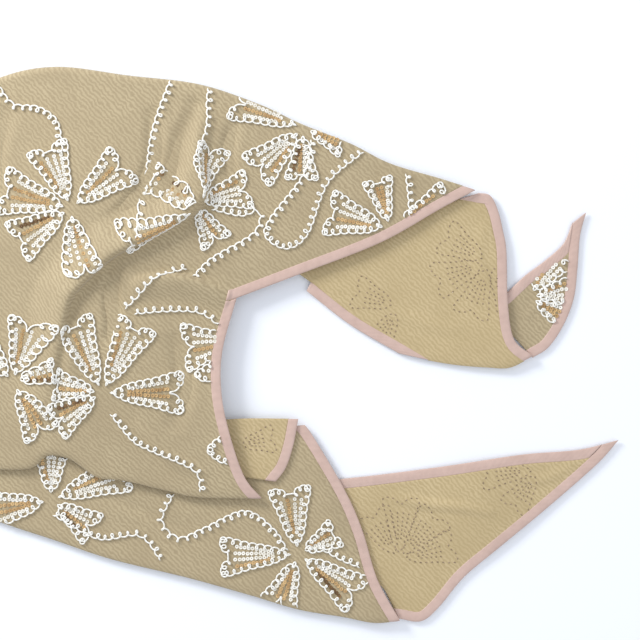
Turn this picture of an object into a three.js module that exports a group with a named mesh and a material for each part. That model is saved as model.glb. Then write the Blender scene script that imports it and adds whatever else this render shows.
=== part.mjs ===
// A triangular headscarf of thin crepe with a satin-bound edge, dropped on a table and folded.
// Millimetres, +Z up, the table at Z = 0. The one cloth is built as a stretch for each run
// between its folds. A stretch is a plan outline of four sides, lifted by a height field.
import * as THREE from "three";

const CLOTH = 1.2; // wall of the crepe
const BINDING_WIDTH = 8;
const BINDING_THICKNESS = 2;
const SEAM_GAP = 0.3; // between a panel and its binding, and between two stretches
const CHORD_ALLOWANCE = 0.5; // kept on top of the seam gap, for flat facets on a curved seam
const INSET = BINDING_WIDTH + SEAM_GAP + CHORD_ALLOWANCE;
const ROLL = 6; // plan depth over which a folded side rounds away
const SLACK = 1e-3; // of a segment, so that a crossing at a shared point is not missed
const DRAW_IN = 0.9; // of the depth under a fold, by which the cloth stands in from its ends there
const OFFCUT = 60; // how far a side is run on before it is cut by its neighbour
const CORE_CLEARANCE = 1.3; // from the top stretch's wall to the layers packed under it

const COLOURS = { front: 0xb2a080, reverse: 0xb8a882, satin: 0xcdafa2, core: 0xa39070 };

// Sides of the stretches in plan, rows of [x, y], each listed so that the cloth is on its right.
const TOP_FOLD = [[-218, 186], [-169, 212], [-123, 221], [-65, 214], [-9, 207], [39, 191],
  [71, 176], [111, 160], [143, 144], [183, 132], [211, 123]];
const UPPER_EDGE = [[211, 123], [183, 108], [135, 81], [71, 56], [21, 37]];
const LOWER_EDGE = [[21, 37], [10, -4], [9, -36], [15, -68], [27, -104], [41, -122]];
const LOWER_FOLD = [[41, -122], [-9, -121], [-34, -116], [-68, -108], [-90, -105], [-111, -91],
  [-129, -88], [-143, -98], [-169, -99], [-201, -97], [-231, -94]];
const APEX_LOWER = [[-231, -94], [-271, -56], [-306, -6], [-326, 44]];
const APEX_UPPER = [[-326, 44], [-305, 93], [-265, 144], [-218, 186]];
const MIDDLE = [[-326, 44], [-217, 42], [-121, 44], [-49, 47], [21, 37]];
const TURN_FOLD = [[-14, -63], [21, -59], [70, -59]];
const TURN_EDGE = [[70, -59], [66, -80], [60, -98], [52, -109]];
const LOWER_FRONT_EDGE = [[70, -59], [81, -72], [107, -116], [121, -148], [133, -187], [151, -220]];
const LOWER_FRONT_FOLD = [[151, -220], [130, -221.5], [106, -217], [70, -211], [33, -200], [-17, -186],
  [-79, -171], [-124, -156], [-169, -141], [-201, -127], [-222, -109]];
const LOWER_TAIL_LEG = [[98, -108], [135, -104], [188, -97], [248, -88], [294, -84], [326, -76]];
const LOWER_TAIL_LONG = [[326, -76], [308, -96], [268, -131], [228, -164], [202, -186], [182, -210],
  [168, -221], [150, -219]];
const UPPER_TAIL_EDGE = [[214, 121], [223, 119], [229, 108], [233, 92], [236, 74], [237, 32], [242, 4],
  [257, -9]];
const UPPER_TAIL_FOLD = [[257, -9], [239, -18], [221, -18], [196, -16], [172, -12], [150, -7]];
const UPPER_TAIL_LEG = [[150, -7], [111, 16], [75, 44]];
const TIP_LEG = [[228, 34], [237, 42], [251, 55], [267, 67], [282, 81], [290, 99], [300, 106]];
const TIP_LONG = [[300, 106], [295, 87], [293, 62], [290, 37], [282, 16], [270, -2], [258, -10]];

// The one cloth's stretches. Each has a level, soft swells (x, y, reach, height) and creases
// along a path: half width, height and how far the crest leans to the left of its path.
const BODY = {
  level: 9,
  swells: [
    { x: -80, y: 110, reach: 90, height: 6 },
    { x: -90, y: -20, reach: 80, height: 8 },
    { x: 25, y: -70, reach: 60, height: 6 },
    { x: -326, y: 44, reach: 70, height: -7 },
    { x: 205, y: 125, reach: 60, height: -1.5 },
  ],
  creases: [
    { path: [[-10, 190], [-19, 148], [-16, 120], [-33, 108], [-65, 92], [-89, 78], [-118, 49],
      [-126, 28], [-130, 1], [-133, -27], [-134, -60]], half: 19, height: 10, lean: 11 },
    { path: [[-64, 44], [-50, 46], [-35, 47], [-15, 44], [15, 34]], half: 13, height: 6, lean: 6 },
  ],
};
const TURN = { level: 7.3, swells: [], creases: [] };
const LOWER_FRONT = {
  level: 5,
  swells: [{ x: 20, y: -180, reach: 60, height: 1 }, { x: 142, y: -214, reach: 34, height: 1.8 }],
  creases: [],
};
const LOWER_TAIL = { level: 2.2, swells: [{ x: 215, y: -125, reach: 35, height: 2.5 }], creases: [] };
const UPPER_TAIL = { level: 3, swells: [{ x: 240, y: 10, reach: 60, height: 3 }], creases: [] };
const TIP = { level: 2, swells: [], creases: [] };

/** Points evenly spaced along a polyline. */
function spaced(points, count) {
  const reach = [0];
  for (let k = 1; k < points.length; k++) reach.push(reach[k - 1] + points[k].distanceTo(points[k - 1]));
  const total = reach[points.length - 1];
  const result = [];
  for (let n = 0, k = 1; n <= count; n++) {
    const goal = (total * n) / count;
    while (k < points.length - 1 && reach[k] < goal) k++;
    const share = (goal - reach[k - 1]) / Math.max(reach[k] - reach[k - 1], 1e-9);
    result.push(points[k - 1].clone().lerp(points[k], share));
  }
  return result;
}

/** A smooth chain through rows of [x, y]. */
function smooth(rows, count = 60) {
  return new THREE.SplineCurve(rows.map(([x, y]) => new THREE.Vector2(x, y))).getSpacedPoints(count);
}

/** The chain moved onto the cloth, to the right of its travel. */
function inward(chain, distance) {
  return chain.map((point, k) => {
    const ahead = chain[Math.min(k + 1, chain.length - 1)];
    const behind = chain[Math.max(k - 1, 0)];
    const along = ahead.clone().sub(behind).normalize();
    return new THREE.Vector2(point.x + along.y * distance, point.y - along.x * distance);
  });
}

/** The chain run on straight past both ends. */
function extended(chain) {
  const last = chain.length - 1;
  const back = chain[0].clone().sub(chain[1]).setLength(OFFCUT).add(chain[0]);
  const on = chain[last].clone().sub(chain[last - 1]).setLength(OFFCUT).add(chain[last]);
  return [back, ...chain, on];
}

/** Where segment a-b crosses segment c-d, as a share of a-b, or null. */
function segmentCrossing(a, b, c, d) {
  const r = b.clone().sub(a);
  const s = d.clone().sub(c);
  const turn = r.cross(s);
  if (Math.abs(turn) < 1e-9) return null;
  const between = c.clone().sub(a);
  const t = between.cross(s) / turn;
  const u = between.cross(r) / turn;
  const within = (share) => share >= -SLACK && share <= 1 + SLACK;
  return within(t) && within(u) ? t : null;
}

/** The chain cut where it first leaves its neighbour, looking back from its end. */
function cutEnd(chain, neighbour) {
  for (let k = chain.length - 1; k > 0; k--) {
    for (let n = 1; n < neighbour.length; n++) {
      const t = segmentCrossing(chain[k - 1], chain[k], neighbour[n - 1], neighbour[n]);
      if (t !== null) return [...chain.slice(0, k), chain[k - 1].clone().lerp(chain[k], t)];
    }
  }
  throw new Error("two sides never meet");
}

/** The chain cut by its neighbours at both ends. */
function cutBetween(chain, before, after) {
  const ended = cutEnd(extended(chain), extended(after));
  return cutEnd(ended.reverse(), extended(before)).reverse();
}

/** Distance to the right of a chain, and the share of the way along it, at the nearest point. */
function nearest(chain, point) {
  let best = { distance: Infinity, share: 0, side: 1, along: null };
  for (let k = 1; k < chain.length; k++) {
    const step = chain[k].clone().sub(chain[k - 1]);
    const offset = point.clone().sub(chain[k - 1]);
    const t = THREE.MathUtils.clamp(offset.dot(step) / step.lengthSq(), 0, 1);
    const distance = offset.clone().addScaledVector(step, -t).length();
    if (distance < best.distance) {
      const share = (k - 1 + t) / (chain.length - 1);
      best = { distance, share, side: step.cross(offset) < 0 ? 1 : -1, along: step.normalize() };
    }
  }
  return best;
}

/** The cloth's middle surface over a plan point; below is true past a fold's outermost line. */
function place(stretch, point, below = false) {
  let { x, y } = point;
  let z = stretch.level;
  for (const s of stretch.swells) {
    z += s.height * Math.exp(-((point.x - s.x) ** 2 + (point.y - s.y) ** 2) / s.reach ** 2);
  }
  for (const crease of stretch.creases) {
    const near = nearest(crease.chain, point);
    const across = Math.min(near.distance / crease.half, 1);
    const fade = Math.sin(Math.PI * near.share) ** 0.6;
    const hump = (fade * (1 + Math.cos(Math.PI * across))) / 2;
    z += crease.height * hump;
    x += near.along.y * -crease.lean * hump;
    y += near.along.x * crease.lean * hump;
  }
  for (const fold of stretch.folds) {
    const near = nearest(fold.chain, point);
    if (near.distance >= ROLL) continue;
    const rest = THREE.MathUtils.lerp(fold.rest[0], fold.rest[1], near.share);
    const arc = Math.sqrt(Math.max(0, 1 - (1 - near.distance / ROLL) ** 2));
    z = rest + ((z - rest) * (1 + (below ? -arc : arc))) / 2;
  }
  return new THREE.Vector3(x, y, z);
}

/** A closed wall on a grid of middle points, half its thickness either way along the normals. */
function wall(rows, thickness) {
  const height = rows.length;
  const width = rows[0].length;
  const faces = [];
  const corner = new Float32Array(height * width * 6);
  for (let j = 0; j < height; j++) {
    for (let i = 0; i < width; i++) {
      const across = rows[j][Math.min(i + 1, width - 1)].clone().sub(rows[j][Math.max(i - 1, 0)]);
      const down = rows[Math.min(j + 1, height - 1)][i].clone().sub(rows[Math.max(j - 1, 0)][i]);
      const normal = down.cross(across).normalize().multiplyScalar(thickness / 2);
      rows[j][i].clone().add(normal).toArray(corner, (j * width + i) * 3);
      rows[j][i].clone().sub(normal).toArray(corner, (height * width + j * width + i) * 3);
    }
  }
  const top = (j, i) => j * width + i;
  const under = (j, i) => height * width + j * width + i;
  const quad = (a, b, c, d) => faces.push(a, b, c, a, c, d);
  for (let j = 1; j < height; j++) {
    for (let i = 1; i < width; i++) {
      quad(top(j - 1, i - 1), top(j, i - 1), top(j, i), top(j - 1, i));
      quad(under(j - 1, i - 1), under(j - 1, i), under(j, i), under(j, i - 1));
    }
    quad(top(j - 1, 0), under(j - 1, 0), under(j, 0), top(j, 0));
    quad(top(j, width - 1), under(j, width - 1), under(j - 1, width - 1), top(j - 1, width - 1));
  }
  for (let i = 1; i < width; i++) {
    quad(top(0, i), under(0, i), under(0, i - 1), top(0, i - 1));
    quad(top(height - 1, i - 1), under(height - 1, i - 1), under(height - 1, i), top(height - 1, i));
  }
  const geometry = new THREE.BufferGeometry();
  geometry.setAttribute("position", new THREE.BufferAttribute(corner, 3));
  geometry.setIndex(faces);
  return geometry;
}

/** Plan rows of a four-sided patch: its sides blended, crowded where a fold rounds away. */
function patch(top, right, bottom, left, columns, spread) {
  const t = spaced(top, columns);
  const b = spaced([...bottom].reverse(), columns);
  const r = spaced(right, 200);
  const l = spaced([...left].reverse(), 200);
  return spread.map((v) => {
    const rowEnd = r[Math.round(v * 200)];
    const rowStart = l[Math.round(v * 200)];
    return t.map((point, i) => {
      const u = i / columns;
      const flat = t[0].clone().lerp(t[columns], u).lerp(b[0].clone().lerp(b[columns], u), v);
      const ruled = point.clone().lerp(b[i], v);
      return rowStart.clone().lerp(rowEnd, u).add(ruled).sub(flat);
    });
  });
}

const root = new THREE.Group();

function addMesh(name, geometry, colour, roughness) {
  const material = new THREE.MeshStandardMaterial({ color: colour, roughness, metalness: 0 });
  const mesh = new THREE.Mesh(geometry, material);
  mesh.name = name;
  root.add(mesh);
}

/** Sides of a closed plan loop: bound ones stand back by their binding, and all meet in turn. */
function meetSides(sides) {
  const chains = sides.map((side) => inward(smooth(side.rows), side.bound ? INSET : 0));
  const at = (k) => chains[(k + chains.length) % chains.length];
  return chains.map((chain, k) => cutBetween(chain, at(k - 1), at(k + 1)));
}

/** Sets a stretch's folded sides and crease paths up as smooth chains. */
function prepare(stretch, sides) {
  stretch.folds = sides.filter((side) => side.rest).map(({ rows, rest }) => ({ chain: smooth(rows), rest }));
  for (const crease of stretch.creases) crease.chain = smooth(crease.path, 40);
}

/** Rows of cloth rolled on under a folded side, their ends drawn in clear of a slanting binding. */
function rolledUnder(stretch, edge, depths) {
  return depths.map((depth) => {
    const row = inward(edge, depth);
    const last = row.length - 1;
    row[0].lerp(row[1], depth / row[0].distanceTo(row[1]) * DRAW_IN);
    row[last].lerp(row[last - 1], depth / row[last].distanceTo(row[last - 1]) * DRAW_IN);
    return row.map((point) => place(stretch, point, true));
  });
}

const UNDER_DEPTHS = [0.5, 2.2, 5.2];
const even = (count) => Array.from({ length: count + 1 }, (_, k) => k / count);
const crowdedFirst = (count) => even(count).map((v) => v ** 1.7);

/** A panel of one four-sided patch; its bottom side may be a fold. */
function addPanel(name, stretch, sides, columns, rowCount, colour) {
  prepare(stretch, sides);
  const [top, right, bottom, left] = meetSides(sides);
  const topFold = Boolean(sides[0].rest);
  const bottomFold = Boolean(sides[2].rest);
  const spread = topFold ? crowdedFirst(rowCount) : even(rowCount);
  const turned = crowdedFirst(rowCount).reverse().map((v) => 1 - v);
  const plan = patch(top, right, bottom, left, columns, bottomFold ? turned : spread);
  const rows = plan.map((row) => row.map((point) => place(stretch, point)));
  if (topFold) rows.unshift(...rolledUnder(stretch, plan[0], UNDER_DEPTHS).reverse());
  if (bottomFold) {
    const edge = [...plan[rowCount]].reverse();
    rows.push(...rolledUnder(stretch, edge, UNDER_DEPTHS).map((row) => row.reverse()));
  }
  addMesh(name, wall(rows, CLOTH), colour, 0.85);
}

/** A binding along one side, cut at each end by the side it meets there. */
function addBinding(name, stretch, rows, before, after, steps) {
  const outer = spaced(cutBetween(smooth(rows), before, after), steps);
  const inner = spaced(cutBetween(inward(smooth(rows), BINDING_WIDTH), before, after), steps);
  const lines = [0, 0.5, 1].map((share) =>
    outer.map((point, k) => place(stretch, point.clone().lerp(inner[k], share))));
  addMesh(name, wall(lines, BINDING_THICKNESS), COLOURS.satin, 0.45);
}

const edgeOf = (rows) => inward(smooth(rows), SEAM_GAP);
const seamOf = (rows) => inward(smooth(rows), INSET);
const beforeSeam = (rows) => inward(smooth(rows), BINDING_WIDTH - CHORD_ALLOWANCE * 2);
const beyond = (rows) => inward(smooth(rows), -SEAM_GAP);

// The body: the upper and lower lobes share a middle row between the apex and the bound corner.
const bodySides = [
  { rows: TOP_FOLD, rest: [1, 4.6] },
  { rows: UPPER_EDGE, bound: true },
  { rows: LOWER_EDGE, bound: true },
  { rows: LOWER_FOLD, rest: [9.3, 6.7] },
  { rows: APEX_LOWER, bound: true },
  { rows: APEX_UPPER, bound: true },
];

function addBody(columns, rowCount) {
  prepare(BODY, bodySides);
  const [top, upperEdge, lowerEdge, bottom, apexLower, apexUpper] = meetSides(bodySides);
  const middle = smooth(MIDDLE);
  middle[0] = apexUpper[0];
  middle[middle.length - 1] = lowerEdge[0];
  const backward = [...middle].reverse();
  const upper = patch(top, upperEdge, backward, apexUpper, columns, crowdedFirst(rowCount));
  const turned = crowdedFirst(rowCount).reverse().map((v) => 1 - v);
  const lower = patch(middle, lowerEdge, bottom, apexLower, columns, turned);
  const plan = [...upper, ...lower.slice(1)];
  const rows = plan.map((row) => row.map((point) => place(BODY, point)));
  const lastRow = [...plan[plan.length - 1]].reverse();
  rows.unshift(...rolledUnder(BODY, plan[0], UNDER_DEPTHS).reverse());
  rows.push(...rolledUnder(BODY, lastRow, UNDER_DEPTHS).map((row) => row.reverse()));
  addMesh("body_front", wall(rows, CLOTH), COLOURS.front, 0.85);
}

addBody(27, 12);
addBinding("binding_body_upper", BODY, UPPER_EDGE, edgeOf(TOP_FOLD), beforeSeam(LOWER_EDGE), 24);
addBinding("binding_body_lower", BODY, LOWER_EDGE, beyond(UPPER_EDGE), edgeOf(LOWER_FOLD), 20);
addBinding("binding_apex_upper", BODY, APEX_UPPER, edgeOf(APEX_LOWER), edgeOf(TOP_FOLD), 16);
addBinding("binding_apex_lower", BODY, APEX_LOWER, edgeOf(LOWER_FOLD), seamOf(APEX_UPPER), 16);

// The turn, reverse side up, between the lower lobe and the lower front.
addPanel("turn_reverse", TURN, [
  { rows: TURN_FOLD },
  { rows: TURN_EDGE, bound: true },
  { rows: [[52, -109], [20, -105], [-10, -102]] },
  { rows: [[-10, -102], [-14, -63]] },
], 8, 6, COLOURS.reverse);
addBinding("binding_turn", TURN, TURN_EDGE, edgeOf(TURN_FOLD), smooth([[52, -109], [20, -105]]), 10);

// The lower front, right side up, out from under the body.
addPanel("lower_front", LOWER_FRONT, [
  { rows: [[-222, -90], [-169, -84], [-89, -84], [-21, -66], [70, -61]] },
  { rows: LOWER_FRONT_EDGE, bound: true },
  { rows: LOWER_FRONT_FOLD, rest: [4.4, 1.2] },
  { rows: [[-222, -109], [-222, -90]] },
], 20, 12, COLOURS.front);
addBinding("binding_lower_front", LOWER_FRONT, LOWER_FRONT_EDGE, smooth([[40, -67], [90, -63]]),
  edgeOf(LOWER_FRONT_FOLD), 20);

// The lower tail, reverse side up, flat on the table.
addPanel("lower_tail_reverse", LOWER_TAIL, [
  { rows: LOWER_TAIL_LEG, bound: true },
  { rows: LOWER_TAIL_LONG, bound: true },
  { rows: [[152, -224], [139, -196]] },
  { rows: [[139, -196], [112, -165], [92, -106]] },
], 14, 8, COLOURS.reverse);
addBinding("binding_lower_tail_leg", LOWER_TAIL, LOWER_TAIL_LEG, smooth([[112, -165], [92, -100]]),
  seamOf(LOWER_TAIL_LONG), 16);
addBinding("binding_lower_tail_long", LOWER_TAIL, LOWER_TAIL_LONG, edgeOf(LOWER_TAIL_LEG),
  smooth([[154, -228], [139, -196]]), 18);

// The upper tail, reverse side up under the body's point, and its tip turned right side up.
addPanel("upper_tail_reverse", UPPER_TAIL, [
  { rows: [[62, 58], [135, 96], [214, 121]] },
  { rows: UPPER_TAIL_EDGE, bound: true },
  { rows: UPPER_TAIL_FOLD, rest: [3.9, 1.3] },
  { rows: [...UPPER_TAIL_LEG, [62, 53]], bound: true },
], 14, 8, COLOURS.reverse);
addBinding("binding_upper_tail_long", UPPER_TAIL, UPPER_TAIL_EDGE, smooth([[135, 96], [214, 121]]),
  edgeOf(UPPER_TAIL_FOLD), 16);
addBinding("binding_upper_tail_leg", UPPER_TAIL, UPPER_TAIL_LEG, edgeOf(UPPER_TAIL_FOLD),
  smooth([[70, 30], [90, 70]]), 12);
addPanel("upper_tail_tip", TIP, [
  { rows: TIP_LEG, bound: true },
  { rows: TIP_LONG, bound: true },
  { rows: [[262, -16], [244, 4]] },
  { rows: [[244, 4], [230, 18], [222, 34]] },
], 8, 8, COLOURS.front);
addBinding("binding_tip_leg", TIP, TIP_LEG, smooth([[230, 18], [222, 46]]), seamOf(TIP_LONG), 12);
addBinding("binding_tip_long", TIP, TIP_LONG, edgeOf(TIP_LEG), smooth([[262, -16], [244, 4]]), 14);

/** The layers packed out of sight under the body: one low flat-bottomed dome. */
function addHiddenLayers(columns, rowCount) {
  const top = inward(smooth([[-200, 180], [-123, 210], [-9, 200], [50, 172]]), 14);
  const bottom = smooth([[-8, -46], [-100, -52], [-222, -56]]);
  const right = [top[top.length - 1], ...smooth([[38, 120], [0, 50], [-8, -46]])];
  const left = [...smooth([[-222, -56], [-276, 30], [-262, 80]]), top[0]];
  const upward = patch(top, right, bottom, left, columns, even(rowCount));
  const plain = { ...BODY, creases: [], folds: [] };
  const crown = upward.map((row) => row.map((point) => {
    const lifted = place(plain, point);
    return lifted.setZ(Math.max(1, lifted.z - CORE_CLEARANCE));
  }));
  const middle = crown.map((row) => row.map((point) => point.clone().setZ(point.z / 2)));
  const geometry = wall(middle, 1);
  const position = geometry.getAttribute("position");
  const count = crown.length * crown[0].length;
  crown.flat().forEach((point, k) => {
    position.setXYZ(k, point.x, point.y, point.z);
    position.setXYZ(count + k, point.x, point.y, 0);
  });
  addMesh("hidden_layers", geometry, COLOURS.core, 0.9);
}

addHiddenLayers(11, 9);

export default root;
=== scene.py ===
"""Looks of a folded, embroidered triangular headscarf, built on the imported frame."""
import logging
from dataclasses import dataclass, field
from enum import Enum

import bpy
import mathutils
import numpy as np
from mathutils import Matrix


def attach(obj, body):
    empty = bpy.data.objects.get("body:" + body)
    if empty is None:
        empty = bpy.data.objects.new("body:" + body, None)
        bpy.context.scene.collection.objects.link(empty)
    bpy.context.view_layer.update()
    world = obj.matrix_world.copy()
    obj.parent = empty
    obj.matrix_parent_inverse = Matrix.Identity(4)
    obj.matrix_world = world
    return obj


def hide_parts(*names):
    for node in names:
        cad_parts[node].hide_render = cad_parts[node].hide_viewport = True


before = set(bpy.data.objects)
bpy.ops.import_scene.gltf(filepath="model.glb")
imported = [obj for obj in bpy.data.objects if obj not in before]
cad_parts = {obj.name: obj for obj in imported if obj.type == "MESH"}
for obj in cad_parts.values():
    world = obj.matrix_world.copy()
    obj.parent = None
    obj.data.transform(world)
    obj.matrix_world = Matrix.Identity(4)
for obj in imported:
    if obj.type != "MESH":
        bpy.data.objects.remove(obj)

LOG = logging.getLogger("headscarf")
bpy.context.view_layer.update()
MM = 0.001
RNG = np.random.default_rng(7)

CLOTH = 0.8          # crepe with its embroidery's backing, mm
BINDING_WIDTH = 8.0
BINDING_THICKNESS = 1.9
SEAM_LAP = 0.6       # the panel's edge runs this far into the folded tape
ROLL = 6.0           # plan depth over which a folded side rounds away
RUN_ON = 60.0        # how far a side is run on before its neighbour cuts it
LOOP_PITCH = 6.4     # couched cord, one loop each
LOOP_RADIUS = 2.1
CORD_RADIUS = 0.72
PETAL_REACH = 1.06    # petals as stitched, over their drawn lengths and half widths
PETAL_SPREAD = 1.22
SEQUIN_RADIUS = 1.65
SEQUIN_PITCH = 3.0
SEQUIN_KINDS = ("pearl", "amber", "bronze")
SEQUIN_ROWS = ((0, 0, 1, 0), (0, 0, 0, 1), (0, 1, 1, 0), (2, 1, 0, 0))  # kinds, a petal each

# Sides of the stretches in plan, mm, each with the cloth on its right, as the CAD has them.
TOP_FOLD = [(-218, 186), (-169, 212), (-123, 221), (-65, 214), (-9, 207), (39, 191),
            (71, 176), (111, 160), (143, 144), (183, 132), (211, 123)]
UPPER_EDGE = [(211, 123), (183, 108), (135, 81), (71, 56), (21, 37)]
LOWER_EDGE = [(21, 37), (10, -4), (9, -36), (15, -68), (27, -104), (41, -122)]
LOWER_FOLD = [(41, -122), (-9, -121), (-34, -116), (-68, -108), (-90, -105), (-111, -91),
              (-129, -88), (-143, -98), (-169, -99), (-201, -97), (-231, -94)]
APEX_LOWER = [(-231, -94), (-271, -56), (-306, -6), (-326, 44)]
APEX_UPPER = [(-326, 44), (-305, 93), (-265, 144), (-218, 186)]
MIDDLE = [(-326, 44), (-217, 42), (-121, 44), (-49, 47), (21, 37)]
TURN_FOLD = [(-14, -63), (21, -59), (70, -59)]
TURN_EDGE = [(70, -59), (66, -80), (60, -98), (52, -109)]
LOWER_FRONT_EDGE = [(70, -59), (81, -72), (107, -116), (121, -148), (133, -187), (151, -220)]
LOWER_FRONT_FOLD = [(151, -220), (130, -221.5), (106, -217), (70, -211), (33, -200), (-17, -186),
                    (-79, -171), (-124, -156), (-169, -141), (-201, -127), (-222, -109)]
LOWER_TAIL_LEG = [(98, -108), (135, -104), (188, -97), (248, -88), (294, -84), (326, -76)]
LOWER_TAIL_LONG = [(326, -76), (308, -96), (268, -131), (228, -164), (202, -186), (182, -210),
                   (168, -221), (150, -219)]
UPPER_TAIL_EDGE = [(214, 121), (223, 119), (229, 108), (233, 92), (236, 74), (237, 32), (242, 4),
                   (257, -9)]
UPPER_TAIL_FOLD = [(257, -9), (239, -18), (221, -18), (196, -16), (172, -12), (150, -7)]
UPPER_TAIL_LEG = [(150, -7), (111, 16), (75, 44)]
TIP_LEG = [(228, 34), (237, 42), (251, 55), (267, 67), (282, 81), (290, 99), (300, 106)]
TIP_LONG = [(300, 106), (295, 87), (293, 62), (290, 37), (282, 16), (270, -2), (258, -10)]


def smooth(rows: list, count: int = 240) -> np.ndarray:
    """Catmull-Rom curve through rows, evenly spaced.

    Args:
        rows: Points (x, y) in mm.
        count: Number of steps.

    Returns:
        Array of count + 1 points.
    """
    knots = np.asarray(rows, float)
    padded = np.vstack([2 * knots[0] - knots[1], knots, 2 * knots[-1] - knots[-2]])
    t = np.linspace(0, len(knots) - 1 - 1e-9, count * 4)
    k = t.astype(int)
    u = (t - k)[:, None]
    a, b, c, d = padded[k], padded[k + 1], padded[k + 2], padded[k + 3]
    curve = 0.5 * (2 * b + (c - a) * u + (2 * a - 5 * b + 4 * c - d) * u ** 2
                   + (3 * b - a - 3 * c + d) * u ** 3)
    return spaced(curve, count)


def spaced(points: np.ndarray, count: int) -> np.ndarray:
    """Points evenly spaced by length along a polyline of any dimension."""
    reach = np.concatenate([[0], np.cumsum(np.linalg.norm(np.diff(points, axis=0), axis=1))])
    goal = np.linspace(0, reach[-1], count + 1)
    return np.stack([np.interp(goal, reach, points[:, k]) for k in range(points.shape[1])], 1)


def inward(chain: np.ndarray, distance: float) -> np.ndarray:
    """The chain moved to the right of its travel, which is onto the cloth."""
    along = np.gradient(chain, axis=0)
    along /= np.linalg.norm(along, axis=1, keepdims=True)
    return chain + distance * np.stack([along[:, 1], -along[:, 0]], 1)


def cut_end(chain: np.ndarray, neighbour: np.ndarray) -> np.ndarray:
    """The chain cut at its last crossing with a neighbour (segments crossed as whole arrays)."""
    a, r = chain[:-1, None], np.diff(chain, axis=0)[:, None]
    c, s = neighbour[None, :-1], np.diff(neighbour, axis=0)[None]
    turn = r[..., 0] * s[..., 1] - r[..., 1] * s[..., 0]
    turn = np.where(np.abs(turn) < 1e-9, 1e-9, turn)
    gap = c - a
    t = (gap[..., 0] * s[..., 1] - gap[..., 1] * s[..., 0]) / turn
    u = (gap[..., 0] * r[..., 1] - gap[..., 1] * r[..., 0]) / turn
    hit = (t >= -0.001) & (t <= 1.001) & (u >= -0.001) & (u <= 1.001)
    rows = np.flatnonzero(hit.any(axis=1))
    if len(rows) == 0:
        raise ValueError("two sides never meet")
    k = rows[-1]
    share = t[k][hit[k]].max()
    return np.vstack([chain[:k + 1], chain[k] + share * (chain[k + 1] - chain[k])])


def extended(chain: np.ndarray) -> np.ndarray:
    """The chain run on straight past both ends by RUN_ON."""
    back = chain[0] - chain[1]
    on = chain[-1] - chain[-2]
    return np.vstack([chain[0] + back / np.linalg.norm(back) * RUN_ON, chain,
                      chain[-1] + on / np.linalg.norm(on) * RUN_ON])


def cut_between(chain: np.ndarray, before: np.ndarray, after: np.ndarray) -> np.ndarray:
    """The chain cut by its neighbours at both ends."""
    ended = cut_end(extended(chain), extended(after))
    return cut_end(ended[::-1], extended(before))[::-1]


def nearest(chain: np.ndarray, points: np.ndarray) -> tuple:
    """Nearest place on a chain for every point.

    Args:
        chain: Polyline (K, 2).
        points: Points (N, 2).

    Returns:
        Distance, share of the way along, and unit direction of travel.
    """
    best = np.full(len(points), np.inf)
    share = np.zeros(len(points))
    along = np.zeros((len(points), 2))
    steps = np.diff(chain, axis=0)
    for k, step in enumerate(steps):
        offset = points - chain[k]
        t = np.clip(offset @ step / (step @ step), 0, 1)
        distance = np.linalg.norm(offset - t[:, None] * step, axis=1)
        closer = distance < best
        best = np.where(closer, distance, best)
        share = np.where(closer, (k + t) / len(steps), share)
        along = np.where(closer[:, None], step / np.linalg.norm(step), along)
    return best, share, along


@dataclass(frozen=True)
class Swell:
    """A broad soft rise: centre, reach and height in mm."""
    x: float
    y: float
    reach: float
    height: float


@dataclass(frozen=True)
class Crease:
    """A ridge (height > 0) or trough along a path, its crest leaning left of it by lean."""
    path: tuple
    half: float
    height: float
    lean: float = 0.0


@dataclass
class Stretch:
    """A run of the one cloth between its folds: a height field over its plan."""
    level: float
    swells: tuple = ()
    creases: tuple = ()
    folds: list = field(default_factory=list)

    def place(self, points: np.ndarray, below: bool = False) -> np.ndarray:
        """Lift plan points: level, swells, cosine creases that lean, elliptic fold rounding.

        Args:
            points: Plan points (N, 2) in mm.
            below: True for cloth that has gone on under a fold's outermost line.

        Returns:
            Points (N, 3) in mm.
        """
        x, y = points[:, 0].copy(), points[:, 1].copy()
        z = np.full(len(points), self.level, float)
        for s in self.swells:
            z += s.height * np.exp(-((points[:, 0] - s.x) ** 2 + (points[:, 1] - s.y) ** 2)
                                   / s.reach ** 2)
        for crease in self.creases:
            far, share, along = nearest(smooth(crease.path, 36), points)
            fade = np.sin(np.pi * np.clip(share, 0, 1)).clip(0) ** 0.6
            hump = fade * (1 + np.cos(np.pi * np.minimum(far / crease.half, 1))) / 2
            z += crease.height * hump
            x -= along[:, 1] * crease.lean * hump
            y += along[:, 0] * crease.lean * hump
        for chain, rest in self.folds:
            far, share, _ = nearest(chain, points)
            low = rest[0] + (rest[1] - rest[0]) * share
            arc = np.sqrt(np.clip(1 - (1 - np.minimum(far / ROLL, 1)) ** 2, 0, None))
            rounded = low + (z - low) * (1 + (-arc if below else arc)) / 2
            z = np.where(far < ROLL, rounded, z)
        return np.stack([x, y, z], 1)


def patch(top: np.ndarray, right: np.ndarray, bottom: np.ndarray, left: np.ndarray,
          columns: int, spread: np.ndarray) -> np.ndarray:
    """Coons patch: the blend of its four sides, less their flat blend.

    Args:
        top, right, bottom, left: Sides in turn, clockwise.
        columns: Steps along the top.
        spread: Shares of the way down for each row.

    Returns:
        Plan grid (rows, columns + 1, 2).
    """
    t, b = spaced(top, columns), spaced(bottom[::-1], columns)
    r, l = spaced(right, 400), spaced(left[::-1], 400)
    u = np.linspace(0, 1, columns + 1)[None, :, None]
    v = spread[:, None, None]
    k = np.rint(spread * 400).astype(int)
    ruled = t[None] * (1 - v) + b[None] * v
    rails = l[k][:, None] * (1 - u) + r[k][:, None] * u
    flat = (t[0] * (1 - u) + t[-1] * u) * (1 - v) + (b[0] * (1 - u) + b[-1] * u) * v
    return ruled + rails - flat


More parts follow.
